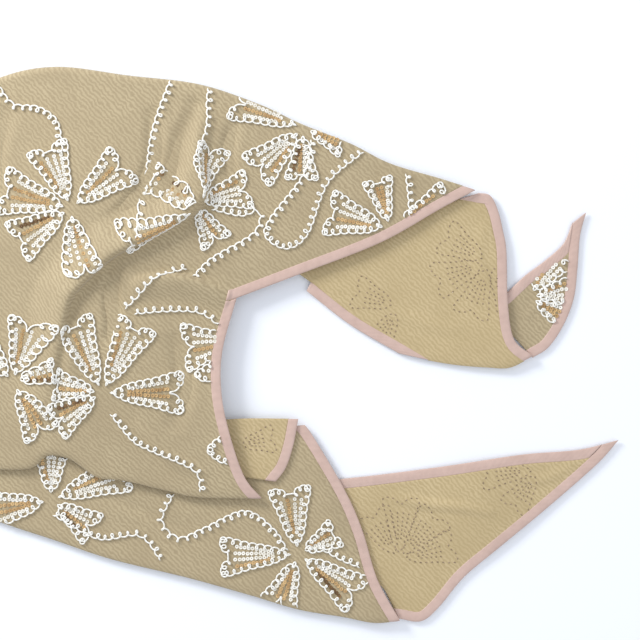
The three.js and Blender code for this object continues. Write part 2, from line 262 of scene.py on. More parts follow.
def grid_normals(grid: np.ndarray) -> np.ndarray:
    """Unit normals of a grid of points, pointing up for rows that run down the plan."""
    down, across = np.gradient(grid, axis=0), np.gradient(grid, axis=1)
    normal = np.cross(down, across)
    return normal / np.maximum(np.linalg.norm(normal, axis=2, keepdims=True), 1e-9)


def shell_mesh(grid: np.ndarray, upper: np.ndarray, lower: np.ndarray) -> tuple:
    """A closed shell: two offset copies of a grid and the rim between them.

    Args:
        grid: Middle surface (J, I, 3).
        upper: Offset above, broadcastable to (J, I), mm.
        lower: Offset below, mm.

    Returns:
        Vertices and quads.
    """
    normal = grid_normals(grid)
    rows, cols = grid.shape[:2]
    top = grid + normal * np.broadcast_to(upper, (rows, cols))[..., None]
    under = grid - normal * np.broadcast_to(lower, (rows, cols))[..., None]
    index = np.arange(rows * cols).reshape(rows, cols)
    other = index + rows * cols

    def quads(a: np.ndarray, b: np.ndarray, c: np.ndarray, d: np.ndarray) -> np.ndarray:
        """Quads from four arrays of corner numbers."""
        return np.stack([a.ravel(), b.ravel(), c.ravel(), d.ravel()], 1)

    faces = [
        quads(index[:-1, :-1], index[1:, :-1], index[1:, 1:], index[:-1, 1:]),
        quads(other[:-1, :-1], other[:-1, 1:], other[1:, 1:], other[1:, :-1]),
        quads(index[:-1, 0], other[:-1, 0], other[1:, 0], index[1:, 0]),
        quads(index[1:, -1], other[1:, -1], other[:-1, -1], index[:-1, -1]),
        quads(index[0, 1:], other[0, 1:], other[0, :-1], index[0, :-1]),
        quads(index[-1, :-1], other[-1, :-1], other[-1, 1:], index[-1, 1:]),
    ]
    return np.vstack([top.reshape(-1, 3), under.reshape(-1, 3)]), np.vstack(faces)


def add_piece(name: str, vertices: np.ndarray, faces: np.ndarray, material: bpy.types.Material,
              smooth_shade: bool = True) -> bpy.types.Object:
    """Make an object in metres from millimetre points, dressed and riding on the root.

    Args:
        name: The piece's name.
        vertices: Points (N, 3), mm.
        faces: Corner numbers (M, 4).
        material: Its finish.
        smooth_shade: False for faceted discs.

    Returns:
        The object.
    """
    mesh = bpy.data.meshes.new(name)
    mesh.from_pydata((vertices * MM).tolist(), [], faces.tolist())
    mesh.validate()
    mesh.polygons.foreach_set("use_smooth", np.full(len(mesh.polygons), smooth_shade))
    mesh.materials.append(material)
    mesh.update()
    piece = bpy.data.objects.new(name, mesh)
    bpy.context.collection.objects.link(piece)
    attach(piece, "root")
    LOG.info("%s: %d faces", name, len(mesh.polygons))
    return piece


def inside(points: np.ndarray, outline: np.ndarray) -> np.ndarray:
    """True for each point inside a closed outline, by counting crossings to its right."""
    result = np.zeros(len(points), bool)
    for a, b in zip(outline, np.roll(outline, -1, axis=0)):
        spans = (a[1] > points[:, 1]) != (b[1] > points[:, 1])
        rise = b[1] - a[1] if b[1] != a[1] else 1e-9
        at = a[0] + (points[:, 1] - a[1]) * (b[0] - a[0]) / rise
        result ^= spans & (points[:, 0] < at)
    return result


class Fold(Enum):
    """How a panel's side ends."""
    RAW = 0
    BOUND = 1
    ROLLED = 2


@dataclass(frozen=True)
class Side:
    """One side of a panel: its rows in plan, its end, and the rest height of a rolled one."""
    rows: tuple
    end: Fold = Fold.RAW
    rest: tuple = (0.0, 0.0)


UNDER_DEPTHS = (0.15, 0.6, 1.3, 2.2, 3.3, 4.5, 5.6)  # rows under a fold, mm in from it
DRAWN_COLUMNS = 6    # columns at each end of those rows that are drawn in
FULL_DRAW = 12.0     # depth at which the end would be drawn in by all of those columns


@dataclass
class Panel:
    """A stretch of the crepe, cut by its sides; a middle row splits a six-sided one."""
    node: str
    slot: str
    stretch: Stretch
    sides: list
    columns: int
    rows: int
    middle: tuple = ()

    def __post_init__(self) -> None:
        """Set the folded sides up and cut every side by its neighbours."""
        self.stretch.folds = [(smooth(s.rows, 90), s.rest) for s in self.sides
                              if s.end is Fold.ROLLED]
        inset = BINDING_WIDTH - SEAM_LAP
        chains = [inward(smooth(s.rows), inset if s.end is Fold.BOUND else 0.0)
                  for s in self.sides]
        count = len(chains)
        self.cut = [cut_between(c, chains[k - 1], chains[(k + 1) % count])
                    for k, c in enumerate(chains)]
        self.outline = np.vstack(self.cut)

    def plan(self) -> np.ndarray:
        """Plan grid, its rows crowded where a side rolls away."""
        eased = np.linspace(0, 1, self.rows + 1) ** 1.6
        if not self.middle:
            top, right, bottom, left = self.cut
            spread = eased if self.sides[0].end is Fold.ROLLED else np.linspace(0, 1, self.rows + 1)
            if self.sides[2].end is Fold.ROLLED:
                spread = 1 - eased[::-1]
            return patch(top, right, bottom, left, self.columns, spread)
        top, upper, lower, bottom, apex_lower, apex_upper = self.cut
        middle = smooth(self.middle)
        middle[0], middle[-1] = apex_upper[0], lower[0]
        first = patch(top, upper, middle[::-1], apex_upper, self.columns, eased)
        second = patch(middle, lower, bottom, apex_lower, self.columns, 1 - eased[::-1])
        return np.concatenate([first, second[1:]])

    def under_rows(self, edge: np.ndarray) -> np.ndarray:
        """Rows of cloth gone on under a fold, drawn in at their ends."""
        rows = []
        for depth in UNDER_DEPTHS:
            row = inward(edge, depth)
            pull = np.clip(1 - np.arange(len(row)) / DRAWN_COLUMNS, 0, 1)[:, None]
            drawn = depth / FULL_DRAW
            row = row + pull * (row[DRAWN_COLUMNS] - row[0]) * drawn
            row = row + pull[::-1] * (row[-1 - DRAWN_COLUMNS] - row[-1]) * drawn
            rows.append(self.stretch.place(row, below=True))
        return np.array(rows)

    def build(self, material: bpy.types.Material) -> bpy.types.Object:
        """Make the panel's thin shell and hide the CAD part it stands for."""
        plan = self.plan()
        grid = self.stretch.place(plan.reshape(-1, 2)).reshape(*plan.shape[:2], 3)
        if self.sides[0].end is Fold.ROLLED:
            grid = np.concatenate([self.under_rows(plan[0])[::-1], grid])
        low = 3 if self.middle else 2
        if self.sides[low].end is Fold.ROLLED:
            rows = self.under_rows(plan[-1][::-1])[:, ::-1]
            grid = np.concatenate([grid, rows])
        vertices, faces = shell_mesh(grid, CLOTH / 2, CLOTH / 2)
        piece = add_piece(self.node + "_cloth", vertices, faces, material)
        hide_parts(self.node)
        return piece

    def area(self) -> float:
        """Plan area in square metres, by the shoelace formula, with the rolled margin."""
        x, y = self.outline[:, 0], self.outline[:, 1]
        flat = 0.5 * abs(np.dot(x, np.roll(y, -1)) - np.dot(y, np.roll(x, -1)))
        return float(flat) * 1.05e-6


@dataclass
class Binding:
    """A strip of satin bias tape folded over one edge."""
    node: str
    stretch: Stretch
    rows: list
    before: np.ndarray
    after: np.ndarray
    across: int = 12

    def build(self, material: bpy.types.Material) -> bpy.types.Object:
        """Tape as a rounded bar: half-ellipse shoulders and a stitched valley by its inner edge."""
        outer = cut_between(smooth(self.rows), self.before, self.after)
        inner = cut_between(inward(smooth(self.rows), BINDING_WIDTH), self.before, self.after)
        steps = max(24, int(np.linalg.norm(np.diff(outer, axis=0), axis=1).sum() / 1.6))
        outer, inner = spaced(outer, steps), spaced(inner, steps)
        v = (1 - np.cos(np.linspace(0, np.pi, self.across + 1))) / 2
        plan = outer[None] * (1 - v[:, None, None]) + inner[None] * v[:, None, None]
        grid = self.stretch.place(plan.reshape(-1, 2)).reshape(*plan.shape[:2], 3)
        crown = np.sqrt(np.clip(1 - (2 * v - 1) ** 4, 0.0, None))
        groove = 0.45 * np.exp(-((v - 0.80) / 0.05) ** 2)
        pucker = 0.10 * np.sin(np.linspace(0, steps * 1.6 / 5.5, steps + 1) * 2 * np.pi)
        body = BINDING_THICKNESS / 2 * np.maximum(crown, 0.12)
        upper = body[:, None] - groove[:, None] + pucker[None] * crown[:, None]
        vertices, faces = shell_mesh(grid, upper, np.maximum(body, 0.1)[:, None])
        piece = add_piece(self.node + "_tape", vertices, faces, material)
        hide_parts(self.node)
        return piece


def edge_of(rows: list) -> np.ndarray:
    """A folded side, as the cap of a tape that ends there."""
    return inward(smooth(rows), 0.2)


def seam_of(rows: list) -> np.ndarray:
    """A bound side's seam line, as the cap of a tape that ends against it."""
    return inward(smooth(rows), BINDING_WIDTH)


@dataclass(frozen=True)
class Flower:
    """An ordinary open flower: wedge petals (degrees, length, half width) about a centre, mm."""
    x: float
    y: float
    petals: tuple

    def outline(self, petal: tuple) -> np.ndarray:
        """One petal: narrow at the base, widest near its notched outer end, as a smooth loop."""
        angle, length, half = petal
        length, half = length * PETAL_REACH, half * PETAL_SPREAD
        local = [(6, 0), (length * 0.30, half * 0.42), (length * 0.62, half * 0.70),
                 (length * 0.94, half), (length * 0.97, half * 0.45), (length * 0.88, 0),
                 (length * 0.97, -half * 0.45), (length * 0.94, -half),
                 (length * 0.62, -half * 0.70), (length * 0.30, -half * 0.42), (6, 0)]
        return self.turned(smooth(local, 160), angle)

    def rows(self, petal: tuple) -> list:
        """Rows of sequins that fan out from the petal's base."""
        angle, length, half = petal
        length, half = length * PETAL_REACH, half * PETAL_SPREAD
        lines = []
        for fan in np.linspace(-0.5, 0.5, 4):
            start, end = length * (0.30 + 0.14 * abs(fan)), length * (0.80 - 0.06 * abs(fan))
            lines.append(self.turned(np.array([(start, fan * half * 0.42), (end, fan * half)]),
                                     angle))
        return lines

    def turned(self, points: np.ndarray, angle: float) -> np.ndarray:
        """Local points turned to a petal's direction and moved to the flower."""
        c, s = np.cos(np.radians(angle)), np.sin(np.radians(angle))
        return points @ np.array([[c, s], [-s, c]]) + (self.x, self.y)


FLOWERS_BODY = [
    Flower(-110, 108, ((40, 54, 15), (112, 52, 14), (165, 56, 16), (212, 50, 15), (278, 46, 13))),
    Flower(-13, 113, ((72, 46, 13), (14, 44, 13), (205, 62, 13), (150, 40, 11), (300, 36, 11))),
    Flower(74, 172, ((158, 58, 13), (222, 50, 14), (338, 34, 9), (268, 40, 11))),
    Flower(143, 92, ((165, 50, 15), (28, 52, 12), (105, 40, 10))),
    Flower(-85, -38, ((113, 60, 14), (63, 60, 14), (0, 62, 14), (212, 44, 13), (170, 40, 11))),
    Flower(-156, -30, ((75, 50, 14), (130, 46, 13), (300, 46, 13), (20, 30, 9))),
    Flower(26, 4, ((188, 46, 16), (235, 44, 13))),
    Flower(-232, 92, ((20, 50, 14), (95, 50, 14), (170, 52, 14), (235, 46, 13), (305, 46, 13))),
    Flower(-228, -30, ((30, 44, 13), (110, 50, 14), (185, 50, 14), (260, 46, 13))),
]
FLOWERS_LOWER = [
    Flower(70, -167, ((98, 52, 14), (182, 60, 13), (248, 44, 13), (325, 56, 14), (30, 34, 10))),
    Flower(-127, -124, ((22, 62, 14), (90, 40, 12), (190, 52, 14), (325, 40, 12))),
]
FLOWERS_TIP = [Flower(254, 38, ((55, 40, 12), (8, 40, 12), (330, 40, 11)))]
GHOSTS = {
    "upper": [Flower(222, 66, ((200, 44, 12), (250, 44, 12), (300, 40, 12), (150, 40, 12))),
              Flower(150, 30, ((160, 36, 11), (240, 34, 10)))],
    "lower": [Flower(150, -172, ((88, 48, 12), (50, 46, 12), (15, 44, 11), (120, 42, 12))),
              Flower(262, -100, ((185, 44, 10), (235, 36, 10)))],
    "turn": [Flower(20, -80, ((10, 30, 9),))],
}
VINES_BODY = [
    [(-117, 150), (-117, 158), (-121, 178), (-136, 189), (-156, 192), (-169, 208)],
    [(-30, 216), (-46, 172), (-52, 134), (-63, 93)],
    [(-2, 204), (-6, 171), (-19, 148), (-16, 130)],
    [(1, 107), (24, 102), (38, 105), (34, 89), (1, 69), (-14, 54)],
    [(80, 163), (74, 136), (47, 100), (44, 85), (61, 76), (78, 88), (94, 128), (122, 153)],
    [(-67, 28), (-55, 38), (-30, 56), (-18, 60)],
    [(-60, 24), (-35, 26), (-9, 25), (8, 14)],
    [(-79, -55), (-62, -76), (-48, -84), (-13, -100), (-8, -117)],
    [(13, -68), (-2, -82), (6, -92), (20, -96)],
    [(155, 136), (157, 118), (158, 99)],
    [(-190, 60), (-214, 40), (-206, 12), (-184, 2)],
]
VINES_LOWER = [
    [(-126, -136), (-90, -155), (-57, -153), (-40, -172)],
    [(62, -164), (50, -146), (27, -132), (-6, -146), (-25, -153), (-38, -140), (-29, -119)],
    [(72, -75), (90, -104), (107, -133), (116, -155)],
    [(86, -162), (104, -172), (119, -178)],
]


def loop_path(route: np.ndarray, side: float) -> np.ndarray:
    """A couched cord: a curve with one round loop every LOOP_PITCH (a prolate cycloid).

    Args:
        route: Plan points, mm.
        side: +1 throws the loops to the left of travel, -1 to the right.

    Returns:
        Plan points with their lift in the third column.
    """
    length = np.linalg.norm(np.diff(route, axis=0), axis=1).sum()
    loops = max(1, int(round(length / LOOP_PITCH)))
    base = spaced(route, loops * 12)
    along = np.gradient(base, axis=0)
    along /= np.maximum(np.linalg.norm(along, axis=1, keepdims=True), 1e-9)
    across = np.stack([-along[:, 1], along[:, 0]], 1) * side
    phase = np.linspace(0, loops * 2 * np.pi, loops * 12 + 1)[:, None]
    uneven = 1 + 0.12 * np.sin(phase * 0.37 + route[0, 0])
    plan = base + LOOP_RADIUS * uneven * (along * np.sin(phase) + across * (1 - np.cos(phase)))
    lift = 0.45 + 0.4 * np.sin(phase / 2) ** 2
    return np.hstack([plan, lift])


def kept_runs(path: np.ndarray, outline: np.ndarray) -> list:
    """The runs of a path that lie on the panel, each at least eight points long."""
    keep = inside(path[:, :2], outline)
    edges = np.flatnonzero(np.diff(np.concatenate([[0], keep.astype(int), [0]])))
    return [path[a:b] for a, b in zip(edges[::2], edges[1::2]) if b - a >= 8]


def tubes(runs: list, radius: float, sides: int = 5) -> tuple:
    """Round tubes along runs of 3-D points, with closed ends drawn to a point.

    Args:
        runs: Arrays (N, 3), mm.
        radius: Tube radius, mm.
        sides: Sides of the section.

    Returns:
        Vertices and quads of all the tubes.
    """
    angle = np.linspace(0, 2 * np.pi, sides, endpoint=False)
    vertices, faces, start = [], [], 0
    for run in runs:
        along = np.gradient(run, axis=0)
        along /= np.maximum(np.linalg.norm(along, axis=1, keepdims=True), 1e-9)
        side = np.cross(along, (0.0, 0.0, 1.0))
        side /= np.maximum(np.linalg.norm(side, axis=1, keepdims=True), 1e-9)
        up = np.cross(side, along)
        taper = np.ones(len(run))
        taper[[0, -1]] = 0.25
        ring = (side[:, None] * np.cos(angle)[:, None] + up[:, None] * np.sin(angle)[:, None])
        points = run[:, None] + ring * (radius * taper)[:, None, None]
        index = np.arange(len(run) * sides).reshape(len(run), sides) + start
        after = np.roll(index, -1, axis=1)
        faces.append(np.stack([index[:-1], index[1:], after[1:], after[:-1]], -1).reshape(-1, 4))
        vertices.append(points.reshape(-1, 3))
        start += len(run) * sides
    return np.vstack(vertices), np.vstack(faces)


def sequin_rings(centres: np.ndarray, tilt: np.ndarray) -> tuple:
    """Cupped ring discs: an outer rim, and an inner rim above and below, eight sides each.

    Args:
        centres: Middles (N, 3), mm.
        tilt: Row direction (N, 2), along which each disc leans on the next.

    Returns:
        Vertices and quads.
    """
    angle = np.linspace(0, 2 * np.pi, 8, endpoint=False)
    rings = [(SEQUIN_RADIUS, 0.0), (0.42, -0.10), (0.42, -0.34)]
    shape = np.array([[(r * np.cos(a), r * np.sin(a), z) for a in angle] for r, z in rings])
    flat = shape.reshape(-1, 3)
    lean = flat[None, :, 0] * tilt[:, None, 0] + flat[None, :, 1] * tilt[:, None, 1]
    points = centres[:, None] + flat[None]
    points[..., 2] += 0.22 * lean
    one = np.arange(24).reshape(3, 8)
    after = np.roll(one, -1, axis=1)
    loop = [np.stack([one[a], after[a], after[b], one[b]], -1) for a, b in ((0, 1), (1, 2), (2, 0))]
    faces = np.vstack(loop)
    offset = (np.arange(len(centres)) * 24)[:, None, None]
    return points.reshape(-1, 3), (faces[None] + offset).reshape(-1, 4)


@dataclass
class Embroidery:
    """Cords and sequins sewn on one right-side-up panel."""
    name: str
    panel: Panel
    flowers: list
    vines: list

    def on_cloth(self, path: np.ndarray, lift: float) -> np.ndarray:
        """Plan points laid on the panel's upper face and raised by lift plus their own."""
        placed = self.panel.stretch.place(path[:, :2])
        extra = path[:, 2] if path.shape[1] > 2 else 0.0
        placed[:, 2] += CLOTH / 2 + lift + extra
        return placed

    def build_cord(self, material: bpy.types.Material) -> bpy.types.Object:
        """Loops run outside each petal and to the left of each vine."""
        runs = []
        for flower in self.flowers:
            for petal in flower.petals:
                runs += kept_runs(loop_path(flower.outline(petal), -1), self.panel.outline)
        for vine in self.vines:
            runs += kept_runs(loop_path(smooth(vine), 1), self.panel.outline)
        vertices, faces = tubes([self.on_cloth(run, CORD_RADIUS * 0.6) for run in runs],
                                CORD_RADIUS)
        return add_piece(self.name + "_cord", vertices, faces, material)

    def build_sequins(self, materials: list) -> list:
        """Each row of a petal's fan takes one kind of sequin, pearl more often than the rest."""
        sorted_rows = [[] for _ in materials]
        for flower in self.flowers:
            for number, petal in enumerate(flower.petals):
                for row, line in enumerate(flower.rows(petal)):
                    kind = SEQUIN_ROWS[number % len(SEQUIN_ROWS)][row]
                    length = np.linalg.norm(line[1] - line[0])
                    points = spaced(line, max(2, int(length / SEQUIN_PITCH)))
                    points = points[inside(points, self.panel.outline)]
                    if len(points):
                        way = np.tile((line[1] - line[0]) / length, (len(points), 1))
                        sorted_rows[kind].append(np.hstack([points, way]))
        pieces = []
        for kind, (rows, material) in enumerate(zip(sorted_rows, materials)):
            if not rows:
                continue
            table = np.vstack(rows)
            table[:, :2] += RNG.normal(0, 0.18, (len(table), 2))
            centres = self.on_cloth(table[:, :2], 0.6)
            vertices, faces = sequin_rings(centres, table[:, 2:])
            name = f"{self.name}_sequins_{SEQUIN_KINDS[kind]}"
            pieces.append(add_piece(name, vertices, faces, material, False))
        return pieces


@dataclass
class StitchGhosts:
    """The back of the stitching, which shows as short dashes on a reverse-side-up panel."""
    name: str
    panel: Panel
    flowers: list

    def build(self, material: bpy.types.Material) -> bpy.types.Object:
        """Dashes about 2 mm long, one for each loop, round the petals and along their rows."""
        runs = []
        for flower in self.flowers:
            for petal in flower.petals:
                for line, gap in [(flower.outline(petal), 4.4)] + [(r, 3.2) for r in
                                                                  flower.rows(petal)]:
                    total = np.linalg.norm(np.diff(line, axis=0), axis=1).sum()
                    points = spaced(line, max(2, int(total / gap)) * 4)
                    runs += [points[k:k + 3] for k in range(0, len(points) - 3, 4)]
        keep = [run for run in runs if inside(run, self.panel.outline).all()]
        lifted = []
        for run in keep:
            placed = self.panel.stretch.place(run)
            placed[:, 2] += CLOTH / 2 + np.array([-0.15, 0.18, -0.15])
            lifted.append(placed)
        vertices, faces = tubes(lifted, 0.55)
        return add_piece(self.name + "_stitches", vertices, faces, material)


def linear(code: str) -> tuple:
    """sRGB hex to linear RGBA."""
    value = np.array([int(code[k:k + 2], 16) / 255 for k in (0, 2, 4)])
    line = np.where(value <= 0.04045, value / 12.92, ((value + 0.055) / 1.055) ** 2.4)
    return (*line.tolist(), 1.0)


def node(tree: bpy.types.NodeTree, kind: str, links: dict, **settings) -> bpy.types.Node:
    """Add a node, set its properties and sockets, and link it.

    Args:
        tree: The node tree.
        kind: Blender's node type.
        links: Socket name or index to a value or an output socket.
        settings: Node properties.

    Returns:
        The node.
    """
    made = tree.nodes.new(kind)
    for key, value in settings.items():
        setattr(made, key, value)
    for socket, value in links.items():
        if isinstance(value, bpy.types.NodeSocket):
            tree.links.new(value, made.inputs[socket])
        else:
            made.inputs[socket].default_value = value
    return made


def new_finish(name: str) -> tuple:
    """A new material, its tree, its Principled shader and the Object coordinates."""
    made = bpy.data.materials.new(name)
    made.use_nodes = True
    tree = made.node_tree
    place = node(tree, "ShaderNodeTexCoord", {}).outputs["Object"]
    return made, tree, tree.nodes["Principled BSDF"], place


def two_tone(tree: bpy.types.NodeTree, shader: bpy.types.Node, factor: bpy.types.NodeSocket,
             dark: str, light: str) -> None:
    """Colour the shader between two sRGB hex tones by a factor."""
    mixed = node(tree, "ShaderNodeMix", {"Factor": factor, 6: linear(dark), 7: linear(light)},
                 data_type="RGBA")
    tree.links.new(mixed.outputs[2], shader.inputs["Base Color"])


@dataclass(frozen=True)
class Crepe:
    """Crinkled crepe, woven of hard-twisted yarn: matt, soft sheen, fine uneven ribs."""
    name: str
    light: str
    dark: str
    rib_mm: float = 1.1
    crinkle: float = 0.2

    def material(self) -> bpy.types.Material:
        """Colour drifts between two tones over 30 mm and goes darker in the rib troughs as painted
        shade; wavy ribs and grain drive the bump.
        """
        made, tree, shader, place = new_finish(self.name)
        drift = node(tree, "ShaderNodeTexNoise", {"Vector": place, "Scale": 32.0, "Detail": 4.0})
        ribs = node(tree, "ShaderNodeTexWave", {"Vector": place, "Scale": 1000 / self.rib_mm / 6.3,
                                                "Distortion": 6.0, "Detail": 3.0,
                                                "Detail Scale": 1.4}, bands_direction="DIAGONAL")
        grain = node(tree, "ShaderNodeTexNoise", {"Vector": place, "Scale": 900.0, "Detail": 3.0})
        # painted shade: the drift is scaled by the ribs, so the tone goes dark in their troughs
        tone = node(tree, "ShaderNodeMath", {0: drift.outputs["Fac"], 1: ribs.outputs["Fac"]},
                    operation="MULTIPLY_ADD")
        tone.inputs[2].default_value = 0.12
        two_tone(tree, shader, tone.outputs[0], self.dark, self.light)
        height = node(tree, "ShaderNodeMath", {0: ribs.outputs["Fac"], 1: grain.outputs["Fac"]},
                      operation="ADD")
        bump = node(tree, "ShaderNodeBump", {"Height": height.outputs[0],
                                             "Strength": self.crinkle, "Distance": 0.0006})
        tree.links.new(bump.outputs["Normal"], shader.inputs["Normal"])
        shader.inputs["Roughness"].default_value = 0.78
        shader.inputs["Sheen Weight"].default_value = 0.35
        shader.inputs["Sheen Roughness"].default_value = 0.4
        return made


@dataclass(frozen=True)
class Satin:
    """Satin bias tape: smooth floats of filament yarn, so a soft broad gloss."""
    name: str
    light: str
    dark: str

    def material(self) -> bpy.types.Material:
        """Fine diagonal floats at 0.9 mm, drawn coarse enough to show, and a drifting tone."""
        made, tree, shader, place = new_finish(self.name)
        drift = node(tree, "ShaderNodeTexNoise", {"Vector": place, "Scale": 120.0, "Detail": 3.0})
        floats = node(tree, "ShaderNodeTexWave", {"Vector": place, "Scale": 176.0,
                                                  "Distortion": 1.5}, bands_direction="DIAGONAL")
        two_tone(tree, shader, drift.outputs["Fac"], self.dark, self.light)
        bump = node(tree, "ShaderNodeBump", {"Height": floats.outputs["Fac"], "Strength": 0.25,
                                             "Distance": 0.0002})
        tree.links.new(bump.outputs["Normal"], shader.inputs["Normal"])
        shader.inputs["Roughness"].default_value = 0.42
        shader.inputs["Sheen Weight"].default_value = 0.3
        return made


@dataclass(frozen=True)
class Thread:
    """Cotton cord or stitching thread: matt, with its twist as a fine bump."""
    name: str
    light: str
    dark: str

    def material(self) -> bpy.types.Material:
        """Twist every 0.9 mm as bands; the same bands colour it, darker in the twist's grooves as
        painted shade.
        """
        made, tree, shader, place = new_finish(self.name)
        twist = node(tree, "ShaderNodeTexWave", {"Vector": place, "Scale": 180.0,
                                                 "Distortion": 2.0}, bands_direction="DIAGONAL")
        # painted shade: the tone goes dark in the twist's grooves, where the bump is low
        two_tone(tree, shader, twist.outputs["Fac"], self.dark, self.light)
        bump = node(tree, "ShaderNodeBump", {"Height": twist.outputs["Fac"], "Strength": 0.4,
                                             "Distance": 0.0003})
        tree.links.new(bump.outputs["Normal"], shader.inputs["Normal"])
        shader.inputs["Roughness"].default_value = 0.8
        return made


@dataclass(frozen=True)
class Foil:
    """Sequin film: polished, part metallic, each disc catching the light its own way."""
    name: str
    light: str
    dark: str
    metallic: float
    roughness: float

    def material(self) -> bpy.types.Material:
        """Tone changes from disc to disc, over about 4 mm."""
        made, tree, shader, place = new_finish(self.name)
        discs = node(tree, "ShaderNodeTexVoronoi", {"Vector": place, "Scale": 260.0})
        two_tone(tree, shader, discs.outputs["Color"], self.dark, self.light)
        shader.inputs["Metallic"].default_value = self.metallic
        shader.inputs["Roughness"].default_value = self.roughness
        return made


FRONT = Stretch(9, (
    Swell(-80, 110, 90, 6), Swell(-90, -20, 80, 8), Swell(25, -70, 60, 6),
    Swell(-326, 44, 70, -7), Swell(205, 125, 60, -1.5),
), (
    Crease(((-10, 190), (-19, 148), (-16, 120), (-33, 108), (-65, 92), (-89, 78), (-118, 49),
            (-126, 28), (-130, 1), (-133, -27), (-134, -60)), 19, 10, 11),
    Crease(((-64, 44), (-50, 46), (-35, 47), (-15, 44), (15, 34)), 13, 6, 6),
    Crease(((-10, 196), (-24, 165), (-34, 130), (-56, 106)), 10, -5.0),
    Crease(((-46, 190), (-44, 150), (-58, 118), (-84, 92)), 11, -4.0),
    Crease(((-74, 66), (-78, 40), (-76, 18), (-80, 0)), 10, -5.0),
    Crease(((20, 180), (14, 150), (22, 120)), 10, -3.0),
    Crease(((60, 150), (96, 122), (128, 108)), 12, 2.6),
    Crease(((-160, 190), (-172, 150), (-166, 110)), 14, -3.0),
    Crease(((-108, 20), (-112, -20), (-104, -60)), 13, 3.0),
    Crease(((-30, 10), (-20, -30), (-30, -70)), 13, -2.8),
    Crease(((-60, -60), (-30, -90), (0, -104)), 9, 1.8),
    Crease(((-240, 120), (-210, 80), (-200, 20)), 16, 2.0),
    Crease(((-250, 0), (-215, -20), (-190, -60)), 14, -1.8),
))
TURN = Stretch(7.3, (), (Crease(((10, -64), (30, -80), (46, -100)), 7, 0.5),))
LOWER = Stretch(5, (Swell(20, -180, 60, 1), Swell(142, -214, 34, 1.8)), (
    Crease(((-40, -125), (10, -140), (60, -140)), 10, 0.5),
    Crease(((-120, -112), (-60, -130), (0, -160)), 9, -0.9),
    Crease(((80, -90), (96, -130), (110, -180)), 8, 0.7),
))
LOWER_TAIL = Stretch(2.2, (Swell(215, -125, 35, 2.5),), (
    Crease(((143, -121), (168, -127), (200, -130), (228, -135)), 7, 1.8),
    Crease(((230, -100), (262, -108), (292, -96)), 7, 0.8),
))
UPPER_TAIL = Stretch(3, (Swell(240, 10, 60, 3),), (
    Crease(((222, 100), (214, 70), (226, 30)), 9, 0.7),
    Crease(((120, 40), (160, 20), (200, 10)), 9, 0.7),
))
TIP = Stretch(2, (), (Crease(((250, 20), (268, 40), (282, 66)), 6, 0.7),))


def tuple_side(rows: list, end: Fold = Fold.RAW, rest: tuple = (0.0, 0.0)) -> Side:
    """A side from its rows."""
    return Side(tuple(rows), end, rest)


def make_panels() -> dict:
    """The six stretches of crepe, by short name."""
    b, r = Fold.BOUND, Fold.ROLLED
    s = tuple_side
    return {
        "body": Panel("body_front", "crepe_front", FRONT, [
            s(TOP_FOLD, r, (1, 4.6)), s(UPPER_EDGE, b), s(LOWER_EDGE, b),
            s(LOWER_FOLD, r, (9.3, 6.7)), s(APEX_LOWER, b), s(APEX_UPPER, b)],
            190, 95, tuple(MIDDLE)),
        "turn": Panel("turn_reverse", "crepe_reverse", TURN, [
            s(TURN_FOLD), s(TURN_EDGE, b), s([(52, -109), (20, -105), (-10, -102)]),
            s([(-10, -102), (-14, -63)])], 50, 30),
        "lower": Panel("lower_front", "crepe_front", LOWER, [
            s([(-222, -90), (-169, -84), (-89, -84), (-21, -66), (70, -61)]),
            s(LOWER_FRONT_EDGE, b), s(LOWER_FRONT_FOLD, r, (4.4, 1.2)),
            s([(-222, -109), (-222, -90)])], 170, 60),
        "lower_tail": Panel("lower_tail_reverse", "crepe_reverse", LOWER_TAIL, [
            s(LOWER_TAIL_LEG, b), s(LOWER_TAIL_LONG, b), s([(152, -224), (139, -196)]),
            s([(139, -196), (112, -165), (92, -106)])], 110, 60),
        "upper_tail": Panel("upper_tail_reverse", "crepe_reverse", UPPER_TAIL, [
            s([(62, 58), (135, 96), (214, 121)]), s(UPPER_TAIL_EDGE, b),
            s(UPPER_TAIL_FOLD, r, (3.9, 1.3)), s(UPPER_TAIL_LEG + [(62, 53)], b)], 90, 60),
        "tip": Panel("upper_tail_tip", "crepe_front", TIP, [
            s(TIP_LEG, b), s(TIP_LONG, b), s([(262, -16), (244, 4)]),
            s([(244, 4), (230, 18), (222, 34)])], 50, 50),
    }


